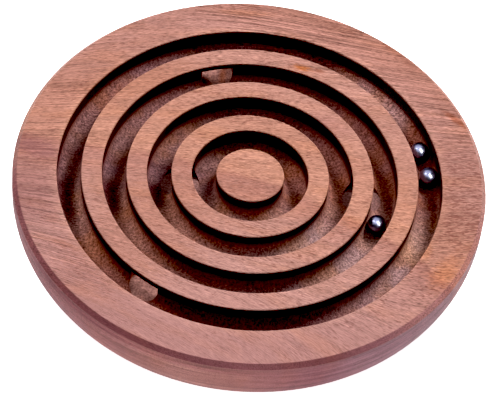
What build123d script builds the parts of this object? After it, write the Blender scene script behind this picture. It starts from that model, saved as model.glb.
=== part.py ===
from build123d import *
import os
from math import cos, radians, sin, sqrt

# Round wooden tilt maze. One board carries four ring grooves round a centre boss. Steel balls roll in the
# grooves, and pass from ring to ring through gates that are hidden under the ridges between the grooves.
# Millimetres, +Z up, origin at the centre of the underside. Azimuths are degrees from +X, counterclockwise.

# Driving dimensions of the board.
BOARD_RADIUS = 75.0
BOARD_THICKNESS = 18.0
TOP_BEVEL = 1.4
SIDE_STRAIGHT_BOTTOM = 12.0
SIDE_CURVE_RADIUS = 21.0
FOOT_ROUND = 0.8

# Driving dimensions of the rings.
BOSS_RADIUS = 10.8
GROOVE_WIDTH = 7.65
RIDGE_WIDTH = 6.55
GROOVE_DEPTH = 8.2
EDGE_ROUND = 0.35
GROOVE_COUNT = 4

# Gates: a hole is drilled from below up to the bridge that closes the ridge, then plugged to floor level.
GATE_DIAMETER = 12.5
GATE_BRIDGE = 2.0

# The ridge that each gate crosses (ridge 1 is the innermost) and its azimuth.
GATES = {
    "outer_gate_plug_back": (3, 108.0),
    "outer_gate_plug_front": (3, 237.0),
    "middle_gate_plug": (2, 2.0),
    "inner_gate_plug": (1, 182.0),
}

# Balls: the groove that each lies in (groove 1 is the innermost), its azimuth, and how far it has rolled
# up the groove's outer side (positive) or inner side (negative).
BALL_DIAMETER = 6.0
BALL_GAP = 0.06
BALLS = {
    "ball_1": (4, 22.2, 0.3),
    "ball_2": (4, 11.4, 0.6),
    "ball_3": (3, -14.0, -0.5),
}

BALL_RADIUS = BALL_DIAMETER / 2
GATE_RADIUS = GATE_DIAMETER / 2
RING_PITCH = GROOVE_WIDTH + RIDGE_WIDTH
FLOOR_Z = BOARD_THICKNESS - GROOVE_DEPTH
NOSE_RADIUS = GROOVE_WIDTH / 2
NOSE_Z = FLOOR_Z + NOSE_RADIUS
CUTTER_OVERRUN = 1.0


def groove_inner(groove):
    """Radius of the inner wall of a groove, counted from the centre."""
    return BOSS_RADIUS + (groove - 1) * RING_PITCH


def groove_middle(groove):
    """Radius of the centreline of a groove."""
    return groove_inner(groove) + NOSE_RADIUS


def ridge_middle(ridge):
    """Radius of the centreline of a ridge, counted from the centre."""
    return groove_inner(ridge) + GROOVE_WIDTH + RIDGE_WIDTH / 2


def polar(radius, azimuth, height):
    """Point at a radius, an azimuth in degrees and a height."""
    return (radius * cos(radians(azimuth)), radius * sin(radians(azimuth)), height)


def blank():
    """Turned disc: bevelled top edge, straight upper side, and a lower side that curves in to the foot."""
    foot_radius = BOARD_RADIUS - SIDE_CURVE_RADIUS + sqrt(SIDE_CURVE_RADIUS**2 - SIDE_STRAIGHT_BOTTOM**2)
    top_corner = (BOARD_RADIUS - TOP_BEVEL, BOARD_THICKNESS)
    bevel_foot = (BOARD_RADIUS, BOARD_THICKNESS - TOP_BEVEL)
    side_foot = (BOARD_RADIUS, SIDE_STRAIGHT_BOTTOM)
    with BuildPart() as disc:
        with BuildSketch(Plane.XZ):
            with BuildLine():
                Polyline((foot_radius, 0), (0, 0), (0, BOARD_THICKNESS), top_corner, bevel_foot, side_foot)
                RadiusArc(side_foot, (foot_radius, 0), SIDE_CURVE_RADIUS)
            make_face()
        revolve(axis=Axis.Z)
        foot_edge = disc.edges().filter_by(GeomType.CIRCLE).sort_by(Axis.Z)[0]
        fillet(foot_edge, FOOT_ROUND)
    return disc.part


def groove_cutter(groove):
    """Ring cutter: straight walls over a round nose, flared at the top to round the ridges' edges."""
    inner = groove_inner(groove)
    outer = inner + GROOVE_WIDTH
    rim_z = BOARD_THICKNESS - EDGE_ROUND
    top = BOARD_THICKNESS + CUTTER_OVERRUN
    with BuildPart() as ring:
        with BuildSketch(Plane.XZ):
            with BuildLine():
                Line((inner - EDGE_ROUND, top), (inner - EDGE_ROUND, BOARD_THICKNESS))
                CenterArc((inner - EDGE_ROUND, rim_z), EDGE_ROUND, 0, 90)
                Line((inner, rim_z), (inner, NOSE_Z))
                CenterArc((inner + NOSE_RADIUS, NOSE_Z), NOSE_RADIUS, 180, 180)
                Line((outer, NOSE_Z), (outer, rim_z))
                CenterArc((outer + EDGE_ROUND, rim_z), EDGE_ROUND, 90, 90)
                Line((outer + EDGE_ROUND, BOARD_THICKNESS), (outer + EDGE_ROUND, top))
                Line((outer + EDGE_ROUND, top), (inner - EDGE_ROUND, top))
            make_face()
        revolve(axis=Axis.Z)
    return ring.part


def upright(radius, height, position):
    """Upright cylinder that stands on a point."""
    return Pos(*position) * Cylinder(radius, height, align=(Align.CENTER, Align.CENTER, Align.MIN))


def board():
    """The disc with its grooves, and with the gate holes drilled up from the underside."""
    solid = blank()
    for groove in range(1, GROOVE_COUNT + 1):
        solid -= groove_cutter(groove)
    for ridge, azimuth in GATES.values():
        solid -= upright(GATE_RADIUS, BOARD_THICKNESS - GATE_BRIDGE, polar(ridge_middle(ridge), azimuth, 0))
    return solid


def gate_plug(ridge, azimuth):
    """Dowel that closes a gate hole from the underside up to the groove floor."""
    return upright(GATE_RADIUS, FLOOR_Z, polar(ridge_middle(ridge), azimuth, 0))


def ball(groove, azimuth, lean):
    """Steel ball that rests against the groove's rounded floor, a small gap clear of the wood."""
    play = NOSE_RADIUS - BALL_RADIUS - BALL_GAP
    height = NOSE_Z - sqrt(play**2 - lean**2)
    return Pos(*polar(groove_middle(groove) + lean, azimuth, height)) * Sphere(BALL_RADIUS)


def main():
    """Write one STEP file per node."""
    nodes = {"maze_board": board()}
    for name, (ridge, azimuth) in GATES.items():
        nodes[name] = gate_plug(ridge, azimuth)
    for name, (groove, azimuth, lean) in BALLS.items():
        nodes[name] = ball(groove, azimuth, lean)
    os.makedirs("parts", exist_ok=True)
    for name, solid in nodes.items():
        export_step(solid, f"parts/{name}.step")


main()
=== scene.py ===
import math

import bpy
from mathutils import Matrix, Vector


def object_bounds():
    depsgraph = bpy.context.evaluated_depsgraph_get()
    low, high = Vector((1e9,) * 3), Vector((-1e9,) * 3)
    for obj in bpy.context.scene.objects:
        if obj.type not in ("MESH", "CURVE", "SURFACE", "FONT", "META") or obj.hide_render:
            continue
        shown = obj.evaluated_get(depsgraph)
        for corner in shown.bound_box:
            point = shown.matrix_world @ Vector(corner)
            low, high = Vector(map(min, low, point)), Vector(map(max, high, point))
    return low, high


# Looks of a round wooden tilt maze. The CAD nodes are shown as they are, each with a procedural material.
# Places in the materials are millimetres in the frame's axes, with the board's centre at x = y = 0.
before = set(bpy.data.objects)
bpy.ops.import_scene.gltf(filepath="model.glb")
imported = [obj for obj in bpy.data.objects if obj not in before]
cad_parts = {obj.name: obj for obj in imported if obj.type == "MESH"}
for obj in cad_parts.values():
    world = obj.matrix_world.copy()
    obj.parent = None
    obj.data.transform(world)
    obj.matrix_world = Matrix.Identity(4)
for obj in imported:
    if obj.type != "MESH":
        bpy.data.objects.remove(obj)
CAD_LOW, CAD_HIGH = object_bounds()

WHITE = (1.0, 1.0, 1.0)

# Camera: where it stands and how it is turned, seen from the centre of the grooved face. The distance is
# in metres, and the sensor and the lens are in millimetres.
EYE_ELEVATION = math.radians(50.17)
EYE_DISTANCE = 0.9349
EYE_ROLL = math.radians(6.30)
EYE_TILT = math.radians(0.516)
EYE_PAN = math.radians(-0.022)
SENSOR_WIDTH = 36.0
LENS = 214.4064

# Soft boxes that light the matt surfaces: azimuth and elevation in degrees, width and height in metres,
# watts. All lights stand at one distance from the grooved face.
LIGHT_DISTANCE = 0.9
LIGHT_BOXES = {
    "right_box": (47, 45, 0.38, 0.24, 12.6),
    "left_box": (143, 36, 0.28, 0.22, 6.2),
    "top_box": (95, 80, 0.30, 0.30, 1.4),
    "front_box": (235, 60, 0.20, 0.20, 0.4),
}
# Cards that only the polished steel mirrors: the same, and a colour.
MIRROR_CARDS = {
    "flash_card": (312, 58, 0.28, 0.85, 7.5, WHITE),
    "side_card": (178, 52, 0.22, 0.26, 1.0, WHITE),
    "sheen_card": (165, 68, 1.70, 1.50, 7.5, (0.80, 0.80, 1.0)),
}
# Strength of the world's faint fill and of the backdrop that the camera sees, and the display's black.
WORLD_FILL = 0.02
WORLD_BACKDROP = 1.05
BLACK_LEVEL = 0.03
FLOOR_HALF_WIDTH = 3.0

# The board's driving sizes, in millimetres. The grooves end just outside the outermost one's wall.
MM_PER_M = 1000.0
BOARD_RADIUS = CAD_HIGH.x * MM_PER_M
FACE_Z = 18.0
GROOVE_FLOOR_Z = 9.8
BOSS_RADIUS = 10.8
GROOVE_PITCH = 14.2
GROOVES_END = 61.5

# The grain's sweep across the grooved face: coefficient, power of x, power of y, both in board radii.
GRAIN_SWEEP = (
    (-0.013, 1, 0),
    (-0.002, 2, 0),
    (0.052, 3, 0),
    (0.321, 1, 1),
    (-0.197, 2, 1),
    (-0.414, 1, 2),
)
# The line between the dark and the light growth band: coefficients of 1, x, x squared, x cubed.
# The bands wander by up to half of BAND_WANDER, and BAND_SLANT is how far they shift for each mm of depth.
BAND_LINE = (-1.0, -0.229, -0.00327, -0.000023)
BAND_WANDER = 6.0
BAND_SLANT = 0.45
# Growth bands from the front edge to the back edge: place across the board (0 to 1) and colour.
BANDS = (
    (0.00, (169, 124, 117)),
    (0.28, (165, 122, 113)),
    (0.40, (162, 118, 107)),
    (0.475, (158, 112, 101)),
    (0.493, (151, 105, 93)),
    (0.507, (167, 119, 102)),
    (0.56, (168, 120, 103)),
    (0.64, (162, 115, 99)),
    (0.78, (160, 116, 104)),
    (0.90, (157, 114, 103)),
    (1.00, (152, 107, 93)),
)
# Marks: centre x, y, half length, half width, turn in degrees, strength, tint. The small ones are natural
# marks; the six broad, faint ones at the end make wide stretches of the face darker.
ORANGE_TINT = (1.10, 0.90, 0.62)
BROWN_TINT = (0.74, 0.60, 0.52)
MARKS = (
    (63, -31, 9.0, 4.0, 62, 0.62, ORANGE_TINT),
    (57, -23, 4.5, 2.0, 80, 0.45, ORANGE_TINT),
    (35, -16, 9.0, 3.0, -25, 0.35, ORANGE_TINT),
    (64, 32.5, 6.0, 1.3, -38, 0.85, (0.80, 0.58, 0.46)),
    (13, 47.5, 3.4, 1.4, -8, 1.00, (1.02, 0.70, 0.38)),
    (18.5, 47.0, 2.2, 0.9, -15, 1.00, BROWN_TINT),
    (-60, -26, 2.8, 2.4, 20, 0.35, BROWN_TINT),
    (-55, -36, 4.0, 1.4, -20, 0.30, BROWN_TINT),
    (46, 57, 9.0, 2.2, -40, 0.35, BROWN_TINT),
    (-8, 69, 10.0, 1.6, 4, 0.40, ORANGE_TINT),
    (-30, -27, 36.0, 20.0, 45, 1.00, (0.93, 0.86, 0.80)),
    (-69, 1.5, 11.0, 4.5, -18, 1.00, (0.76, 0.71, 0.77)),
    (-68, -16, 14.0, 9.0, -76, 1.00, (0.84, 0.80, 0.83)),
    (-37, 36, 24.0, 9.0, 20, 1.00, (0.92, 0.86, 0.80)),
    (24, 24, 9.0, 5.0, -10, 1.00, (0.90, 0.88, 0.93)),
    (0, -7, 10.0, 4.0, 0, 1.00, (0.93, 0.89, 0.86)),
)
PORE_COLOUR = (100, 55, 48)

# Painted shade and light along the front of the turned edge, from the left (0) to the right (1): the
# bevel, the side, and the lip, which is the top of the side; their purple is painted bluish light. The
# back of the side has one tint.
BEVEL_PAINTED_LIGHT = (
    (0.20, (0.66, 0.46, 0.54)),
    (0.53, (1.00, 0.75, 0.88)),
    (0.67, (0.70, 0.47, 0.56)),
    (0.80, (0.74, 0.58, 0.72)),
    (0.91, (0.98, 0.90, 1.00)),
)
SIDE_PAINTED_LIGHT = (
    (0.12, (0.69, 0.49, 0.59)),
    (0.24, (0.82, 0.62, 0.66)),
    (0.40, (1.12, 0.98, 0.94)),
    (0.50, (0.98, 0.80, 0.78)),
    (0.58, (0.86, 0.66, 0.72)),
    (0.68, (0.71, 0.50, 0.65)),
    (0.76, (0.74, 0.63, 0.84)),
    (0.92, (0.62, 0.53, 0.76)),
)
LIP_PAINTED_SHADE = (
    (0.14, (0.74, 0.56, 0.60)),
    (0.30, (0.84, 0.70, 0.74)),
    (0.45, (0.92, 0.84, 0.88)),
    (0.60, WHITE),
)
BACK_SIDE_PAINTED_LIGHT = (0.78, 0.64, 0.72)

# Gate plugs: colour and how strongly it is mottled, and the middle of a brown vein in the back plug.
PALE_PLUG = ((162, 118, 110), 0.30)
# The dark plugs' colour is matched to the groove floors around them, painted shade included.
DARK_PLUG = ((134, 98, 94), 0.20)
PLUG_VEIN_X = -12.6
PLUG_VEIN_Y = 47.5

# Ball steel: its two hazes, and the painted shade on the lower half, which deepens between two heights.
STEEL_DARK = (0.36, 0.38, 0.50)
STEEL_LIGHT = (0.48, 0.50, 0.63)
BALL_PAINTED_SHADE = (0.12, 0.12, 0.20)
BALL_PAINTED_SHADE_TOP_Z = 14.3
BALL_PAINTED_SHADE_FULL_Z = 12.4


def add_camera():
    """Long-lens camera that looks down at the grooved face from the front."""
    c, s = math.cos(EYE_ELEVATION), math.sin(EYE_ELEVATION)
    right, forward = Vector((1, 0, 0)), Vector((0, c, -s))
    down = forward.cross(right)
    level = Matrix((right, down, forward))
    pan = Matrix.Rotation(EYE_PAN, 3, "Y")
    tilt = Matrix.Rotation(EYE_TILT, 3, "X")
    roll = Matrix.Rotation(EYE_ROLL, 3, "Z")
    rows = roll @ tilt @ pan @ level
    turned = Matrix((rows[0], -rows[1], -rows[2])).transposed()
    data = bpy.data.cameras.new("camera")
    data.lens = LENS
    data.sensor_width = SENSOR_WIDTH
    data.clip_start, data.clip_end = 0.01, 20.0
    camera = bpy.data.objects.new("camera", data)
    bpy.context.scene.collection.objects.link(camera)
    eye = Vector((0, 0, CAD_HIGH.z)) + Vector((0, -c, s)) * EYE_DISTANCE
    camera.matrix_world = Matrix.Translation(eye) @ turned.to_4x4()
    bpy.context.scene.camera = camera


def add_area(name, azimuth, elevation, width, height, watts, colour=WHITE, seen_in_gloss=False):
    """Area light that faces the middle of the grooved face from a direction given in degrees.

    It either lights the matt surfaces or is a card that only glossy surfaces mirror.
    """
    data = bpy.data.lights.new(name, "AREA")
    data.shape = "RECTANGLE"
    data.size, data.size_y = width, height
    data.energy = watts
    data.color = colour
    light = bpy.data.objects.new(name, data)
    bpy.context.scene.collection.objects.link(light)
    a, e = math.radians(azimuth), math.radians(elevation)
    way = Vector((math.cos(a) * math.cos(e), math.sin(a) * math.cos(e), math.sin(e)))
    light.location = Vector((0, 0, CAD_HIGH.z)) + way * LIGHT_DISTANCE
    light.rotation_mode = "QUATERNION"
    light.rotation_quaternion = (-way).to_track_quat("-Z", "Y")
    light.visible_diffuse = not seen_in_gloss
    light.visible_glossy = seen_in_gloss


def add_world():
    """Faint white fill, which the camera alone sees as a white backdrop."""
    world = bpy.data.worlds.new("world")
    world.use_nodes = True
    nodes, links = world.node_tree.nodes, world.node_tree.links
    fill = nodes["Background"]
    backdrop = nodes.new("ShaderNodeBackground")
    for background, strength in ((fill, WORLD_FILL), (backdrop, WORLD_BACKDROP)):
        background.inputs["Color"].default_value = (1, 1, 1, 1)
        background.inputs["Strength"].default_value = strength
    choose = nodes.new("ShaderNodeMixShader")
    rays = nodes.new("ShaderNodeLightPath")
    links.new(rays.outputs["Is Camera Ray"], choose.inputs[0])
    links.new(fill.outputs[0], choose.inputs[1])
    links.new(backdrop.outputs[0], choose.inputs[2])
    links.new(choose.outputs[0], nodes["World Output"].inputs[0])
    bpy.context.scene.world = world


def set_tones():
    """Plain display colours with slightly deeper blacks."""
    view = bpy.context.scene.view_settings
    view.view_transform = "Standard"
    view.use_curve_mapping = True
    view.curve_mapping.black_level = (BLACK_LEVEL, BLACK_LEVEL, BLACK_LEVEL)
    view.curve_mapping.update()


def linear(red, green, blue):
    """Scene-linear colour for a display colour of 0 to 255."""
    def one(value):
        value /= 255.0
        return value / 12.92 if value <= 0.04045 else ((value + 0.055) / 1.055) ** 2.4
    return (one(red), one(green), one(blue))


class Nodes:
    """Short calls for building a material's node tree."""

    def __init__(self, name):
        self.material = bpy.data.materials.new(name)
        self.material.use_nodes = True
        self.tree = self.material.node_tree
        self.tree.nodes.clear()
        self.out = self.tree.nodes.new("ShaderNodeOutputMaterial")

    def new(self, kind, **settings):
        """A new node with its settings."""
        node = self.tree.nodes.new(kind)
        for key, value in settings.items():
            setattr(node, key, value)
        return node

    def put(self, value, socket):
        """Links another node's output to a socket, or sets the socket to a plain value."""
        if isinstance(value, bpy.types.NodeSocket):
            self.tree.links.new(value, socket)
        else:
            socket.default_value = value

    def math(self, operation, a, b=0.0, c=0.0):
        """One operation on up to three numbers."""
        node = self.new("ShaderNodeMath", operation=operation)
        for value, socket in zip((a, b, c), node.inputs):
            self.put(value, socket)
        return node.outputs[0]

    def plus(self, a, b):
        """a + b."""
        return self.math("ADD", a, b)

    def minus(self, a, b):
        """a - b."""
        return self.math("SUBTRACT", a, b)

    def times(self, a, b):
        """a times b."""
        return self.math("MULTIPLY", a, b)

    def largest(self, a, b):
        """The larger of two numbers."""
        return self.math("MAXIMUM", a, b)

    def length(self, a, b):
        """Length of the vector (a, b)."""
        return self.math("SQRT", self.math("MULTIPLY_ADD", a, a, self.times(b, b)))

    def remap(self, value, low, high, to_low=0.0, to_high=1.0, smooth=False):
        """Maps low..high to to_low..to_high, and stays level outside it."""
        node = self.new("ShaderNodeMapRange", interpolation_type="SMOOTHSTEP" if smooth else "LINEAR")
        values = (value, low, high, to_low, to_high)
        keys = ("Value", "From Min", "From Max", "To Min", "To Max")
        for setting, key in zip(values, keys):
            self.put(setting, node.inputs[key])
        return node.outputs[0]

    def ease(self, value, low, high, to_low=0.0, to_high=1.0):
        """The same as remap, with soft ends."""
        return self.remap(value, low, high, to_low, to_high, smooth=True)

    def combine(self, x, y, z):
        """A vector of three numbers."""
        node = self.new("ShaderNodeCombineXYZ")
        for value, socket in zip((x, y, z), node.inputs):
            self.put(value, socket)
        return node.outputs[0]

    def split(self, vector):
        """The three numbers of a vector."""
        node = self.new("ShaderNodeSeparateXYZ")
        self.put(vector, node.inputs[0])
        return node.outputs

    def noise(self, vector, scale=1.0, detail=2.0, rough=0.5, distortion=0.0):
        """Noise from 0 to 1."""
        node = self.new("ShaderNodeTexNoise")
        self.put(vector, node.inputs["Vector"])
        node.inputs["Scale"].default_value = scale
        node.inputs["Detail"].default_value = detail
        node.inputs["Roughness"].default_value = rough
        node.inputs["Distortion"].default_value = distortion
        return node.outputs["Fac"]

    def ramp(self, factor, stops):
        """Colour by a factor, from stops of place and colour."""
        node = self.new("ShaderNodeValToRGB")
        elements = node.color_ramp.elements
        while len(elements) < len(stops):
            elements.new(0.5)
        for element, (position, colour) in zip(elements, stops):
            element.position = position
            element.color = (*colour, 1.0)
        self.put(factor, node.inputs[0])
        return node.outputs[0]

    def mix(self, factor, a, b, blend="MIX"):
        """Mix of two colours, each a plain colour or another node's output."""
        node = self.new("ShaderNodeMix", data_type="RGBA", blend_type=blend)
        node.clamp_factor = True
        self.put(factor, node.inputs[0])
        for value, socket in ((a, node.inputs[6]), (b, node.inputs[7])):
            self.put(value if isinstance(value, bpy.types.NodeSocket) else (*value, 1.0), socket)
        return node.outputs[2]

    def tinted(self, mask, colour, tint):
        """A colour that is multiplied by a tint where the mask is 1."""
        return self.mix(mask, colour, self.mix(1.0, colour, tint, "MULTIPLY"))

    def shaded(self, colour, value):
        """A colour multiplied by a number."""
        return self.mix(1.0, colour, self.combine(value, value, value), "MULTIPLY")

    def finish(self, colour, roughness, height, strength, depth, specular):
        """Shader with a bump whose depth is in metres."""
        shader = self.new("ShaderNodeBsdfPrincipled")
        self.put(colour, shader.inputs["Base Color"])
        self.put(roughness, shader.inputs["Roughness"])
        shader.inputs["Specular IOR Level"].default_value = specular
        bump = self.new("ShaderNodeBump")
        bump.inputs["Strength"].default_value = strength
        bump.inputs["Distance"].default_value = depth
        self.put(height, bump.inputs["Height"])
        self.tree.links.new(bump.outputs[0], shader.inputs["Normal"])
        self.tree.links.new(shader.outputs[0], self.out.inputs[0])
        return shader


class WoodNodes(Nodes):
    """Node tree of a wood, with the place in millimetres as x, y, z, and v across the fibres."""

    def __init__(self, name):
        super().__init__(name)
        place = self.new("ShaderNodeTexCoord").outputs["Object"]
        self.x, self.y, self.z = (self.times(axis, MM_PER_M) for axis in self.split(place))
        unit_x = self.math("DIVIDE", self.x, BOARD_RADIUS)
        unit_y = self.math("DIVIDE", self.y, BOARD_RADIUS)
        self.v = self.y
        for factor, power_x, power_y in GRAIN_SWEEP:
            term = self.math("POWER", unit_x, float(power_x)) if power_x > 1 else unit_x
            for _ in range(power_y):
                term = self.times(term, unit_y)
            self.v = self.minus(self.v, self.times(term, factor * BOARD_RADIUS))

    def cloud(self, scale_x, scale_y, scale_z, detail=2.0, rough=0.5):
        """Noise with its scales per millimetre along x, y and z."""
        vector = self.combine(
            self.times(self.x, scale_x), self.times(self.y, scale_y), self.times(self.z, scale_z))
        return self.noise(vector, detail=detail, rough=rough)

    def stretched(self, along, across, through=None, detail=2.0, rough=0.5, offset=0.0):
        """Noise drawn out along the fibres, with its scales per millimetre along, across and in z."""
        vector = self.combine(
            self.times(self.x, along),
            self.math("MULTIPLY_ADD", self.v, across, offset),
            self.times(self.z, across if through is None else through))
        return self.noise(vector, detail=detail, rough=rough)

    def speckle(self, low, high):
        """Coarse dots of the torn fibres that the cutter leaves in the grooves."""
        return self.remap(self.cloud(1.5, 1.5, 0.6, rough=0.7), 0.36, 0.64, low, high)


def growth_bands(n):
    """Colour of the growth bands, which wander a little and slant down through the board."""
    line = BAND_LINE[-1]
    for factor in reversed(BAND_LINE[:-1]):
        line = n.math("MULTIPLY_ADD", line, n.x, factor)
    wander = n.times(n.minus(n.cloud(0.03, 0.12, 0.05), 0.5), BAND_WANDER)
    place = n.plus(n.minus(n.y, line), wander)
    place = n.plus(place, n.times(n.minus(n.z, FACE_Z), BAND_SLANT))
    stops = [(position, linear(*colour)) for position, colour in BANDS]
    return n.ramp(n.remap(place, -BOARD_RADIUS, BOARD_RADIUS), stops)


def grain_tone(n, fibre, calm):
    """How light the wood is: slow bands, streaks and fibres, with long lines at the back and the left."""
    slow = n.stretched(0.030, 0.45)
    streak = n.stretched(0.17, 3.4, rough=0.6, offset=7.0)
    tone = n.plus(n.remap(slow, 0.25, 0.75, 0.86, 1.14), n.remap(streak, 0.25, 0.75, -0.34, 0.34))
    tone = n.plus(tone, n.remap(fibre, 0.2, 0.8, -0.52, 0.52))
    lines = n.minus(n.remap(n.stretched(0.022, 1.5, rough=0.6, offset=29.0), 0.35, 0.65), 0.5)
    at_back = n.ease(n.plus(n.times(n.x, 0.5), n.y), 44.0, 64.0, 0.0, 0.85)
    at_left = n.ease(n.x, -30.0, -58.0, 0.0, 0.55)
    tone = n.math("MULTIPLY_ADD", lines, n.largest(at_back, at_left), tone)
    return n.math("MULTIPLY_ADD", n.minus(tone, 1.0), calm, 1.0)


def marked(n, colour):
    """A wood colour with the natural marks laid over it, each with a soft, ragged edge."""
    wobble = n.noise(n.combine(n.times(n.x, 0.5), n.times(n.y, 1.6), 0.0), rough=0.6)
    ragged = n.times(n.minus(wobble, 0.5), 1.6)
    for centre_x, centre_y, half_length, half_width, turn, strength, tint in MARKS:
        c, s = math.cos(math.radians(turn)), math.sin(math.radians(turn))
        dx, dy = n.minus(n.x, centre_x), n.minus(n.y, centre_y)
        along = n.times(n.math("MULTIPLY_ADD", dx, c, n.times(dy, s)), 1.0 / half_length)
        across = n.times(n.math("MULTIPLY_ADD", dx, -s, n.times(dy, c)), 1.0 / half_width)
        distance = n.plus(n.length(along, across), ragged)
        colour = n.tinted(n.ease(distance, 1.3, 0.3, 0.0, strength), colour, tint)
    return colour


def pores(n, calm):
    """Mask of the pores: short dashes along the fibres, and longer ticks on the rim at the right."""
    crowd = n.stretched(0.05, 0.10, detail=1.0)
    dashes = n.stretched(0.62, 4.8, detail=1.0, offset=41.0)
    dash = n.remap(n.plus(dashes, n.remap(crowd, 0.3, 0.7, -0.02, 0.05)), 0.60, 0.70)
    off_middle = n.math("ABSOLUTE", n.minus(n.y, -1.0))
    right_rim = n.times(n.ease(n.x, 54.0, 64.0), n.ease(off_middle, 14.0, 30.0, 1.0, 0.0))
    ticks = n.stretched(0.46, 3.3, detail=1.0, offset=67.0)
    tick = n.times(n.remap(ticks, 0.52, 0.60), right_rim)
    return n.largest(n.times(dash, n.times(calm, 0.70)), n.times(tick, 0.62))


def far_floor_painted_light(n, radius):
    """Painted shade on the groove floors in the back half, with a painted pool of light in the outermost
    groove.
    """
    # Painted shade: the back floors are darker, by place.
    deep = n.remap(n.y, 15.0, 42.0)
    left = n.mix(deep, (0.46, 0.49, 0.64), (0.66, 0.68, 0.90))
    right = n.mix(deep, (0.60, 0.53, 0.62), (0.62, 0.54, 0.62))
    # Painted pool of light on the outermost groove's floor, at the back right.
    towards_lit_stretch = n.math("MULTIPLY_ADD", n.x, 0.643, n.times(n.y, 0.766))
    pale = n.ease(n.math("DIVIDE", towards_lit_stretch, radius), 0.945, 0.99)
    pale = n.times(pale, n.remap(radius, 52.6, 53.6))
    right = n.mix(pale, right, (1.30, 1.50, 1.80))
    return n.mix(n.ease(n.x, -12.0, 12.0), left, right)


def left_shadow(n, radius, in_groove):
    """Mask of the dark stretch of each groove's floor at the left, a little in front of the middle."""
    off_line = n.math("ABSOLUTE", n.plus(n.math("DIVIDE", n.y, radius), 0.20))
    shadow = n.times(n.ease(off_line, 0.22, 0.08), n.remap(n.x, -18.0, -24.0))
    return n.times(shadow, n.ease(in_groove, 1.0, 4.0))


def groove_stain_and_painted_light(n, radius, nearer):
    """Tint in the grooves: stained, speckled floors and darker walls, with painted shade and light by
    place.
    """
    in_groove = n.math("MODULO", n.minus(radius, BOSS_RADIUS), GROOVE_PITCH)
    # Painted light on the floors in the front half, bluer at the right.
    near_floor_painted_light = n.mix(n.ease(n.x, -20.0, 20.0), (0.98, 0.98, 1.00), (0.90, 1.10, 1.32))
    floor_stain_and_painted_light = n.mix(nearer, far_floor_painted_light(n, radius), near_floor_painted_light)
    floor_stain_and_painted_light = n.tinted(left_shadow(n, radius, in_groove), floor_stain_and_painted_light, (0.34, 0.26, 0.30))
    stain = n.noise(n.combine(n.times(n.x, 0.08), n.times(n.y, 0.08), 5.0))
    floor_stain_and_painted_light = n.tinted(n.remap(stain, 0.48, 0.62, 0.0, 0.8), floor_stain_and_painted_light, (1.08, 0.94, 0.72))
    floor_stain_and_painted_light = n.shaded(floor_stain_and_painted_light, n.speckle(0.55, 1.45))
    # Painted shade on the floors at the front.
    floor_stain_and_painted_light = n.tinted(n.remap(n.y, -24.0, -56.0), floor_stain_and_painted_light, (0.50, 0.30, 0.28))

    # Walls darker than the floors, with painted shade on the upper walls: the outer walls all round, and
    # every wall in the front half.
    outer_wall = n.times(n.remap(in_groove, 4.0, 5.0), n.remap(in_groove, 9.0, 10.0, 1.0, 0.0))
    outer_wall = n.times(outer_wall, n.remap(n.z, 11.0, 13.5))
    inner_wall = n.times(n.remap(n.z, 13.2, 15.4), n.remap(n.y, 6.0, -4.0))
    wall_painted_shade = n.mix(n.largest(outer_wall, inner_wall), (0.62, 0.56, 0.62), (0.15, 0.10, 0.14))

    on_floor = n.largest(n.times(n.remap(n.z, 14.2, 12.6), nearer), n.remap(n.z, 12.8, 11.4))
    return n.mix(on_floor, wall_painted_shade, floor_stain_and_painted_light)


def edge_painted_light(n, colour, radius, nearer):
    """The turned edge and side, with painted shade and painted bluish light: darker and more purple than
    the face where they face the front.
    """
    from_left = n.remap(n.x, -BOARD_RADIUS, BOARD_RADIUS)
    bevel = n.times(n.remap(radius, 73.3, 73.8), n.remap(n.z, 16.2, 16.7))
    colour = n.tinted(bevel, colour, n.mix(nearer, WHITE, n.ramp(from_left, BEVEL_PAINTED_LIGHT)))

    side = n.times(n.remap(n.z, 16.7, 16.2), n.remap(radius, 69.0, 70.4))
    # Painted shade and bluish light on the side, by place along the front.
    side_painted_light_and_layers = n.mix(n.ease(n.y, 60.0, -30.0), BACK_SIDE_PAINTED_LIGHT, n.ramp(from_left, SIDE_PAINTED_LIGHT))
    lip = n.times(n.remap(n.z, 13.2, 14.4), nearer)
    side_painted_light_and_layers = n.tinted(lip, side_painted_light_and_layers, n.ramp(from_left, LIP_PAINTED_SHADE))
    layers = n.cloud(0.035, 0.035, 0.85, detail=5.0, rough=0.70)
    side_painted_light_and_layers = n.shaded(side_painted_light_and_layers, n.remap(layers, 0.30, 0.70, 0.58, 1.40))
    side_painted_light_and_layers = n.tinted(n.remap(layers, 0.50, 0.66), side_painted_light_and_layers, (0.95, 1.02, 1.02))
    return n.tinted(side, colour, side_painted_light_and_layers)


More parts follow.
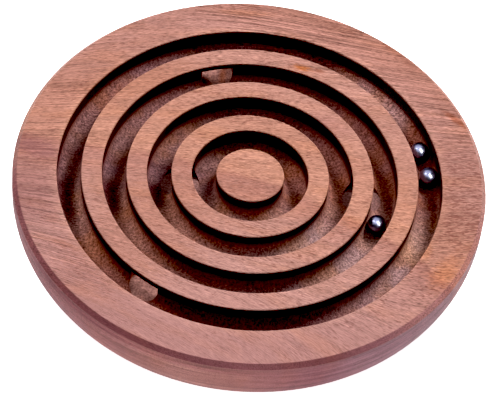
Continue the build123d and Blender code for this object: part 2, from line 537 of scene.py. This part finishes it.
def board_wood():
    """Oiled pinkish brown hardwood, with rougher grooves and a turned edge, both with painted shade and
    light.
    """
    n = WoodNodes("board_wood")
    radius = n.length(n.x, n.y)
    nearer = n.ease(n.y, 4.0, -16.0)
    calm = n.remap(n.y, -44.0, -58.0, 1.0, 0.60)
    fibre = n.stretched(0.60, 6.0, detail=1.0, offset=17.0)
    colour = n.shaded(growth_bands(n), grain_tone(n, fibre, calm))
    blotch = n.stretched(0.035, 0.11, through=0.05, detail=3.0, rough=0.6)
    colour = n.tinted(n.remap(blotch, 0.50, 0.68, 0.0, 0.50), colour, (1.06, 0.96, 0.80))
    colour = marked(n, colour)
    pore = pores(n, calm)
    colour = n.mix(pore, colour, linear(*PORE_COLOUR))

    inside = n.remap(radius, GROOVES_END, GROOVES_END + 1.0, 1.0, 0.0)
    inside = n.times(inside, n.remap(n.z, FACE_Z - 0.1, FACE_Z - 1.0))
    inside = n.times(inside, n.remap(n.z, GROOVE_FLOOR_Z - 1.3, GROOVE_FLOOR_Z - 0.3))
    colour = n.tinted(inside, colour, groove_stain_and_painted_light(n, radius, nearer))
    rim = n.remap(radius, GROOVES_END, GROOVES_END + 2.5)
    colour = n.tinted(rim, colour, (0.90, 0.89, 0.92))
    colour = edge_painted_light(n, colour, radius, nearer)

    roughness = n.plus(n.remap(fibre, 0.2, 0.8, 0.52, 0.72), n.times(inside, 0.12))
    height = n.minus(n.times(fibre, 0.6), n.times(pore, 1.5))
    n.finish(colour, roughness, height, strength=0.4, depth=0.00012, specular=0.25)
    return n.material


def plug_wood(name, colour, mottle):
    """Sawn cross-grain wood of a gate plug."""
    n = WoodNodes(name)
    mottling = n.cloud(0.35, 0.35, 0.2, detail=3.0, rough=0.6)
    streak = n.stretched(0.4, 2.2, detail=3.0, rough=0.6, offset=11.0)
    tone = n.remap(mottling, 0.3, 0.7, 1.0 - mottle, 1.0 + mottle)
    tone = n.plus(tone, n.remap(streak, 0.25, 0.75, -0.25, 0.25))
    tone = n.times(tone, n.speckle(0.65, 1.35))
    shade = n.shaded(linear(*colour), tone)
    dx, dy = n.minus(n.x, PLUG_VEIN_X), n.minus(n.y, PLUG_VEIN_Y)
    vein = n.math("SQRT", n.plus(n.times(dx, dx), n.times(n.times(dy, dy), 0.06)))
    shade = n.tinted(n.remap(vein, 1.6, 0.4, 0.0, 0.7), shade, (1.15, 0.80, 0.55))
    shade = n.tinted(n.remap(mottling, 0.55, 0.75, 0.0, 0.6), shade, (1.1, 0.95, 0.8))
    roughness = n.remap(streak, 0.2, 0.8, 0.6, 0.8)
    n.finish(shade, roughness, streak, strength=0.4, depth=0.00012, specular=0.2)
    return n.material


def ball_steel():
    """Bearing steel with a fine tumbled haze, a few rolling scuffs, and painted shade towards the bottom.
    """
    n = Nodes("ball_steel")
    place = n.new("ShaderNodeTexCoord").outputs["Object"]
    haze = n.noise(place, scale=900.0, detail=3.0, rough=0.6)
    scuff = n.noise(place, scale=2200.0, distortion=3.0)
    colour = n.mix(n.remap(haze, 0.3, 0.7), STEEL_DARK, STEEL_LIGHT)
    z = n.times(n.split(place)[2], MM_PER_M)
    # Painted shade: the ball is darker towards the bottom, where the groove shades it.
    colour = n.mix(n.ease(z, BALL_PAINTED_SHADE_TOP_Z, BALL_PAINTED_SHADE_FULL_Z), colour, BALL_PAINTED_SHADE)
    roughness = n.plus(n.remap(haze, 0.3, 0.7, 0.26, 0.34), n.remap(scuff, 0.60, 0.70, 0.0, 0.08))
    shader = n.finish(colour, roughness, scuff, strength=0.05, depth=0.00003, specular=0.5)
    shader.inputs["Metallic"].default_value = 1.0
    return n.material


def add_floor():
    """White floor that glows a little, so that no shadow shows on it."""
    r = FLOOR_HALF_WIDTH
    mesh = bpy.data.meshes.new("floor")
    mesh.from_pydata([(-r, -r, 0), (r, -r, 0), (r, r, 0), (-r, r, 0)], [], [(0, 1, 2, 3)])
    floor = bpy.data.objects.new("floor", mesh)
    bpy.context.scene.collection.objects.link(floor)
    n = Nodes("floor")
    shader = n.new("ShaderNodeBsdfPrincipled")
    shader.inputs["Base Color"].default_value = (0.9, 0.9, 0.9, 1)
    shader.inputs["Roughness"].default_value = 0.9
    shader.inputs["Emission Color"].default_value = (0.97, 0.98, 1.0, 1)
    shader.inputs["Emission Strength"].default_value = 1.0
    n.tree.links.new(shader.outputs[0], n.out.inputs[0])
    mesh.materials.append(n.material)


def finish_node(name, material):
    """Gives a CAD node its material."""
    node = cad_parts[name]
    node.data.materials.clear()
    node.data.materials.append(material)
    for face in node.data.polygons:
        face.material_index = 0


add_camera()
add_world()
set_tones()
for name, settings in LIGHT_BOXES.items():
    add_area(name, *settings)
for name, settings in MIRROR_CARDS.items():
    add_area(name, *settings, seen_in_gloss=True)
add_floor()

wood = board_wood()
steel = ball_steel()
pale_plug = plug_wood("pale_plug_wood", *PALE_PLUG)
dark_plug = plug_wood("dark_plug_wood", *DARK_PLUG)
finish_node("maze_board", wood)
for name in ("outer_gate_plug_back", "outer_gate_plug_front"):
    finish_node(name, pale_plug)
for name in ("middle_gate_plug", "inner_gate_plug"):
    finish_node(name, dark_plug)
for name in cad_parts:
    if name.startswith("ball"):
        finish_node(name, steel)
